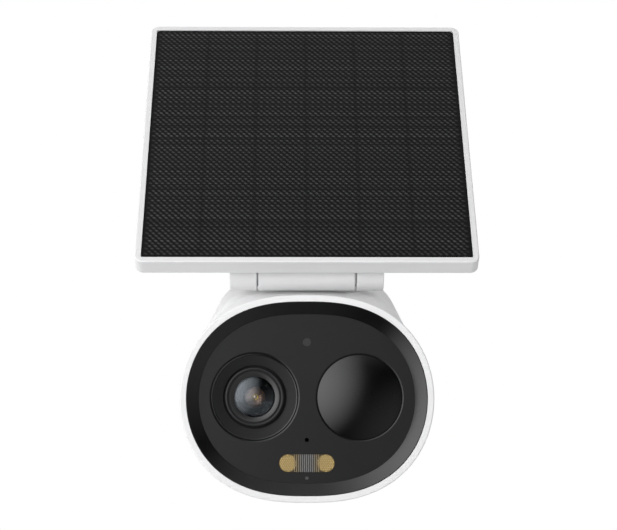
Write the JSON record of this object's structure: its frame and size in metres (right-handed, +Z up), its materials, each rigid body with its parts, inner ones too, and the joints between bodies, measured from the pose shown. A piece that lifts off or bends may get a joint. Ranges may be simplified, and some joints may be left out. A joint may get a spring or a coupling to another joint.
{
  "type": "solar security camera",
  "caption": "Oval battery-powered outdoor camera with lens, motion-sensor dome and spotlight, and a tilting square solar panel hinged on its top.",
  "frame": {"origin": "mouth of the threaded insert in the middle of the rear face", "axes": "+Z up, the lens looks along -Y, +X to the right of someone facing the lens"},
  "size_m": [0.1032, 0.0634, 0.1562],
  "materials": {
    "white_plastic": "satin moulded white plastic",
    "black_gloss": "glossy black plastic",
    "black_plate": "satin black coated plate",
    "black_plastic": "matte black plastic",
    "clear_plastic": "ribbed clear plastic",
    "dark_clear_plastic": "smoked clear plastic",
    "optical_glass": "coated glass",
    "pir_lens": "glossy black polyethylene",
    "rubber": "soft moulded rubber",
    "circuit_board": "solder-masked glass fibre",
    "chip_plastic": "moulded black epoxy",
    "tin_plate": "tinned sheet",
    "steel": "zinc-plated steel",
    "brass": "machined brass",
    "led_phosphor": "yellow phosphor",
    "battery_wrap": "blue shrink film",
    "copper_film": "printed copper on film",
    "solar_silicon": "blue-black silicon",
    "solar_film": "embossed black polymer film",
    "wire_sheath": "soft wire insulation",
    "magnet_wire": "enamelled winding"
  },
  "bodies": {
    "camera": {"rear_housing": "white_plastic", "front_shell": "white_plastic", "housing_gasket": "rubber", "front_bezel": "black_gloss", "front_plate": "black_plate", "lens_trim_ring": "black_plastic", "lens_barrel": "black_plastic", "lens_front_glass": "optical_glass", "lens_retainer": "black_plastic", "lens_elements": "optical_glass", "lens_holder": "black_plastic", "filter_actuator": "magnet_wire", "image_sensor": "chip_plastic", "sensor_board": "circuit_board", "pir_dome": "pir_lens", "pir_baffle": "black_plastic", "pir_sensor": "tin_plate", "front_board": "circuit_board", "spotlight_window": "clear_plastic", "spotlight_leds": "led_phosphor", "spotlight_holder": "black_plastic", "light_sensor_window": "dark_clear_plastic", "front_board_chips": "chip_plastic", "status_light_pipe": "dark_clear_plastic", "microphone": "tin_plate", "microphone_seal": "rubber", "chassis": "black_plastic", "battery_cells": "battery_wrap", "battery_contacts": "tin_plate", "main_board": "circuit_board", "board_connectors": "white_plastic", "main_board_chips": "chip_plastic", "wifi_antenna": "copper_film", "body_lead": "wire_sheath", "usb_port": "tin_plate", "card_socket": "tin_plate", "button_switches": "tin_plate", "speaker": "black_plastic", "speaker_gasket": "rubber", "mount_insert": "brass", "housing_screws": "steel", "chassis_screws": "steel", "main_board_screws": "steel", "front_board_screws": "steel"},
    "panel": {"panel_frame": "white_plastic", "panel_back_cover": "white_plastic", "solar_laminate": "solar_film", "solar_cells": "solar_silicon", "cell_backing_board": "circuit_board", "charge_board": "circuit_board", "panel_screws": "steel", "hinge_pins": "steel", "hinge_washers": "rubber", "hinge_end_caps": "white_plastic", "panel_lead": "wire_sheath"},
    "ir_filter": {"ir_filter_frame": "black_plastic", "ir_filter_glass": "optical_glass"},
    "power_button": {"power_button": "black_plastic"},
    "reset_button": {"reset_button": "black_plastic"},
    "service_flap": {"service_flap": "rubber"}
  },
  "joints": [
    {"name": "panel_tilt", "type": "hinge", "parent": "camera", "child": "panel", "pos_m": [0, -0.0478, 0.0389], "axis": [1, 0, 0], "range_deg": [-50, 30]},
    {"name": "service_flap_swing", "type": "hinge", "parent": "camera", "child": "service_flap", "pos_m": [0, -0.03005, -0.0291], "axis": [1, 0, 0], "range_deg": [0, 90]},
    {"name": "power_button_press", "type": "slide", "parent": "camera", "child": "power_button", "axis": [0, 0, 1], "range_m": [0, 0.0006], "stiffness_N_per_m": 1500, "springref_m": -0.0004},
    {"name": "reset_button_press", "type": "slide", "parent": "camera", "child": "reset_button", "axis": [0, 0, 1], "range_m": [0, 0.0006], "stiffness_N_per_m": 1500, "springref_m": -0.0004},
    {"name": "ir_filter_slide", "type": "slide", "parent": "camera", "child": "ir_filter", "axis": [1, 0, 0], "range_m": [0, 0.0065]}
  ]
}
